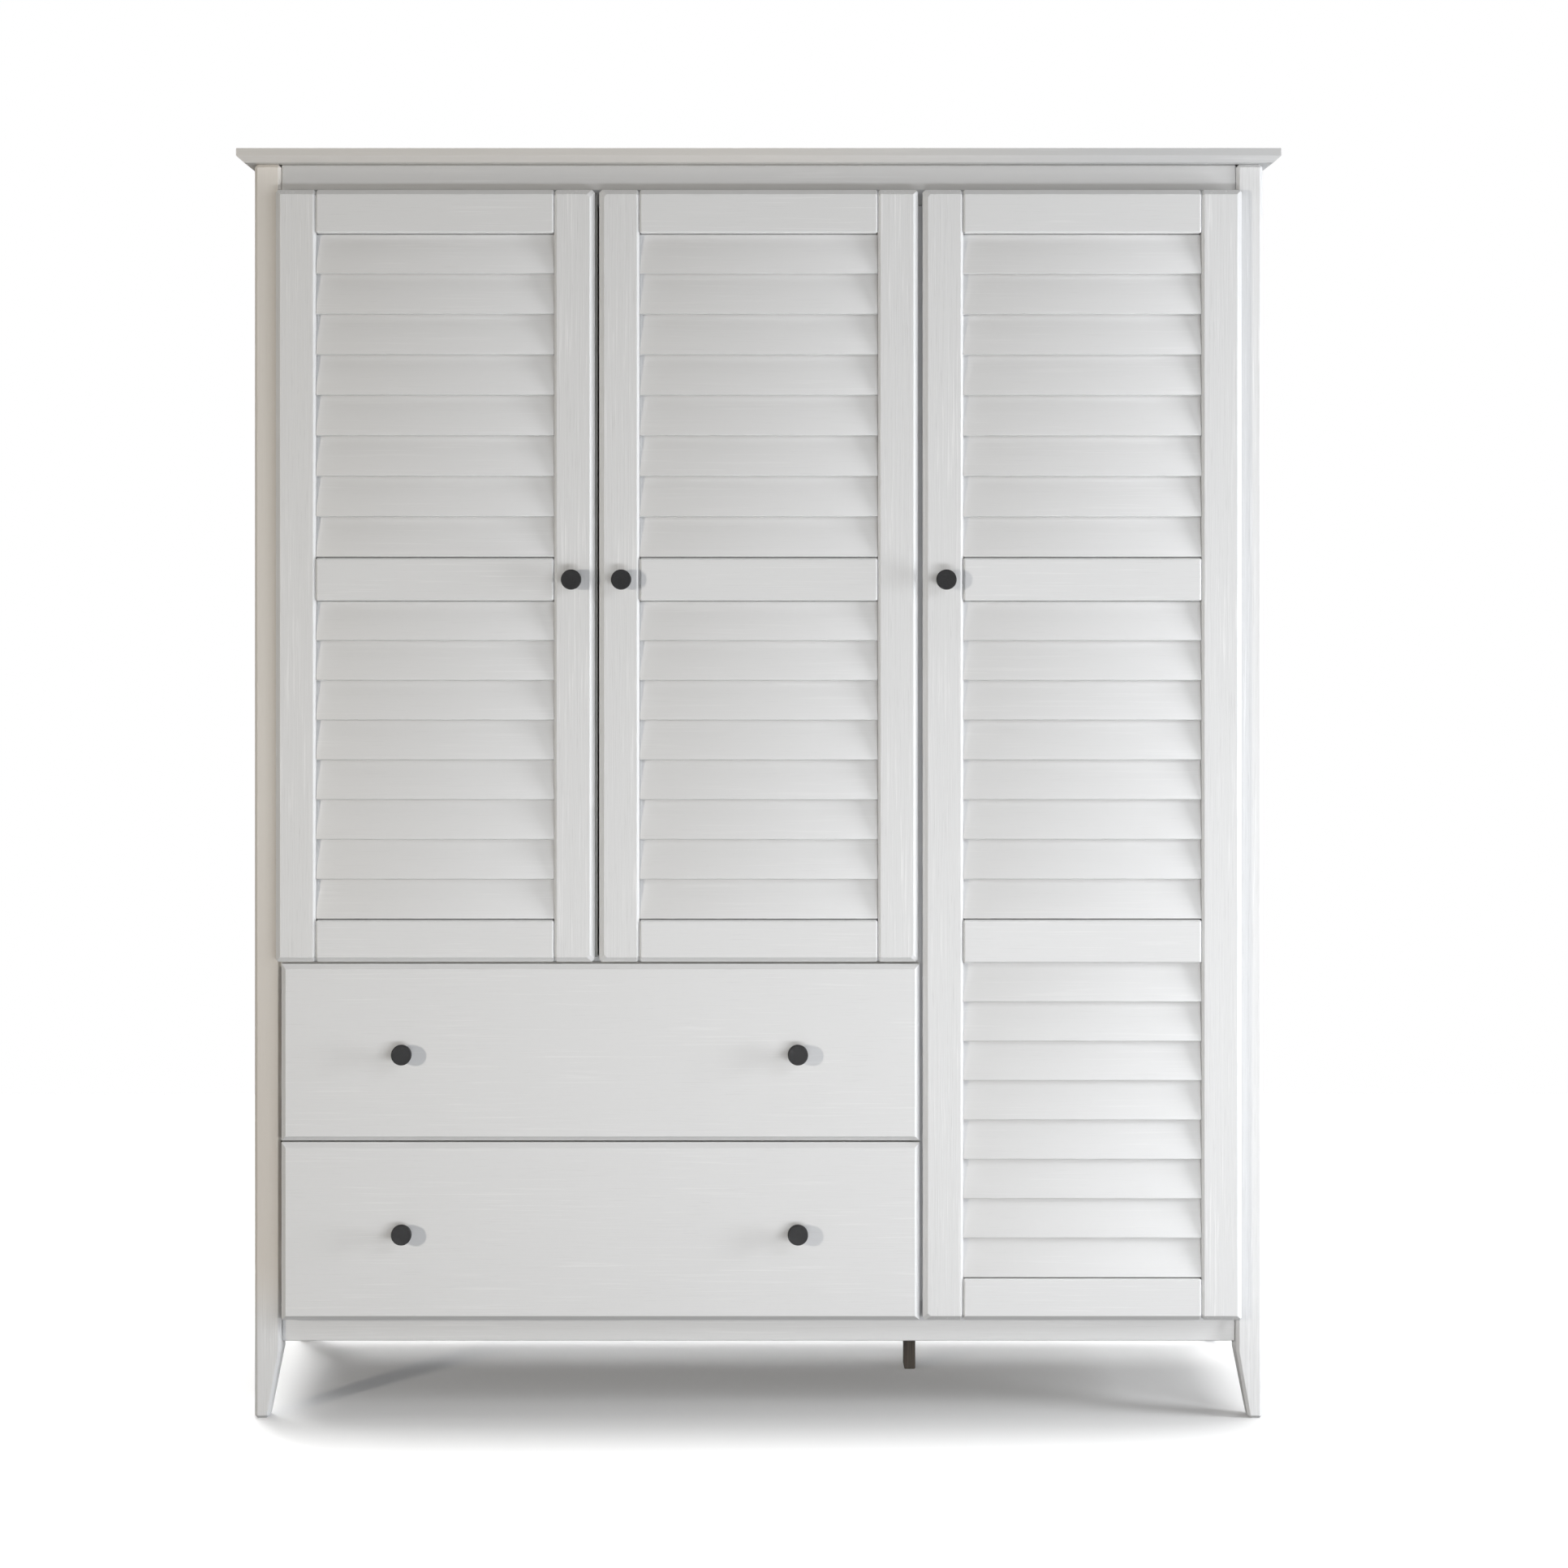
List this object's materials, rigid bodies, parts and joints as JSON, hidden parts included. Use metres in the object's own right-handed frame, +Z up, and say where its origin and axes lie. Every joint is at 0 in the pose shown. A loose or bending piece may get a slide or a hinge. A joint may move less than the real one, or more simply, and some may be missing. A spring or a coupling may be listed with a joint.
{
  "type": "armoire",
  "caption": "Tall white armoire with louvred doors beside and above wide flat drawers, round dark knobs and inward-tapered feet.",
  "frame": {"origin": "centre of the bounding box's bottom face, on the floor between the feet", "axes": "+Z up, +X to the right seen from the front, +Y from the doors to the back panel"},
  "size_m": [1.5, 0.537, 1.83],
  "materials": {
    "white_paint": "satin white paint, brushed grain showing through",
    "drawer_pine": "clear matt lacquer",
    "ply": "plain, matt",
    "dark_wood": "dark matt stain",
    "knob": "charcoal satin",
    "steel": "bright nickel plate"
  },
  "bodies": {
    "carcass": {"top_board": "white_paint", "frieze_rail": "white_paint", "apron_rail": "white_paint", "post_front_left": "white_paint", "post_front_right": "white_paint", "post_back_left": "white_paint", "post_back_right": "white_paint", "side_panel_left": "white_paint", "side_panel_right": "white_paint", "partition": "white_paint", "bottom_panel": "white_paint", "fixed_shelf": "white_paint", "shelf_upper": "white_paint", "shelf_lower": "white_paint", "back_panel": "ply", "support_leg": "dark_wood", "hanging_rod": "steel", "left_door_hinge_arm_upper": "steel", "left_door_hinge_arm_lower": "steel", "middle_door_hinge_arm_upper": "steel", "middle_door_hinge_arm_lower": "steel", "right_door_hinge_arm_upper": "steel", "right_door_hinge_arm_middle": "steel", "right_door_hinge_arm_lower": "steel"},
    "left_door": {"left_door_hinge_stile": "white_paint", "left_door_lock_stile": "white_paint", "left_door_top_rail": "white_paint", "left_door_middle_rail": "white_paint", "left_door_bottom_rail": "white_paint", "left_door_upper_louvres": "white_paint", "left_door_lower_louvres": "white_paint", "left_door_knob": "knob"},
    "middle_door": {"middle_door_hinge_stile": "white_paint", "middle_door_lock_stile": "white_paint", "middle_door_top_rail": "white_paint", "middle_door_middle_rail": "white_paint", "middle_door_bottom_rail": "white_paint", "middle_door_upper_louvres": "white_paint", "middle_door_lower_louvres": "white_paint", "middle_door_knob": "knob"},
    "right_door": {"right_door_hinge_stile": "white_paint", "right_door_lock_stile": "white_paint", "right_door_top_rail": "white_paint", "right_door_upper_middle_rail": "white_paint", "right_door_lower_middle_rail": "white_paint", "right_door_bottom_rail": "white_paint", "right_door_upper_louvres": "white_paint", "right_door_middle_louvres": "white_paint", "right_door_lower_louvres": "white_paint", "right_door_knob": "knob"},
    "upper_drawer": {"upper_drawer_front": "white_paint", "upper_drawer_box": "drawer_pine", "upper_drawer_bottom": "ply", "upper_drawer_knob_left": "knob", "upper_drawer_knob_right": "knob"},
    "lower_drawer": {"lower_drawer_front": "white_paint", "lower_drawer_box": "drawer_pine", "lower_drawer_bottom": "ply", "lower_drawer_knob_left": "knob", "lower_drawer_knob_right": "knob"}
  },
  "joints": [
    {"name": "left_door_hinge", "type": "hinge", "parent": "carcass", "child": "left_door", "pos_m": [-0.6895, -0.2335, 1.216], "axis": [0, 0, -1], "range_deg": [0, 100]},
    {"name": "middle_door_hinge", "type": "hinge", "parent": "carcass", "child": "middle_door", "pos_m": [0.22433, -0.2335, 1.216], "axis": [0, 0, 1], "range_deg": [0, 100]},
    {"name": "right_door_hinge", "type": "hinge", "parent": "carcass", "child": "right_door", "pos_m": [0.6895, -0.2335, 0.9585], "axis": [0, 0, 1], "range_deg": [0, 100]},
    {"name": "upper_drawer_slide", "type": "slide", "parent": "carcass", "child": "upper_drawer", "axis": [0, -1, 0], "range_m": [0, 0.35]},
    {"name": "lower_drawer_slide", "type": "slide", "parent": "carcass", "child": "lower_drawer", "axis": [0, -1, 0], "range_m": [0, 0.35]}
  ]
}
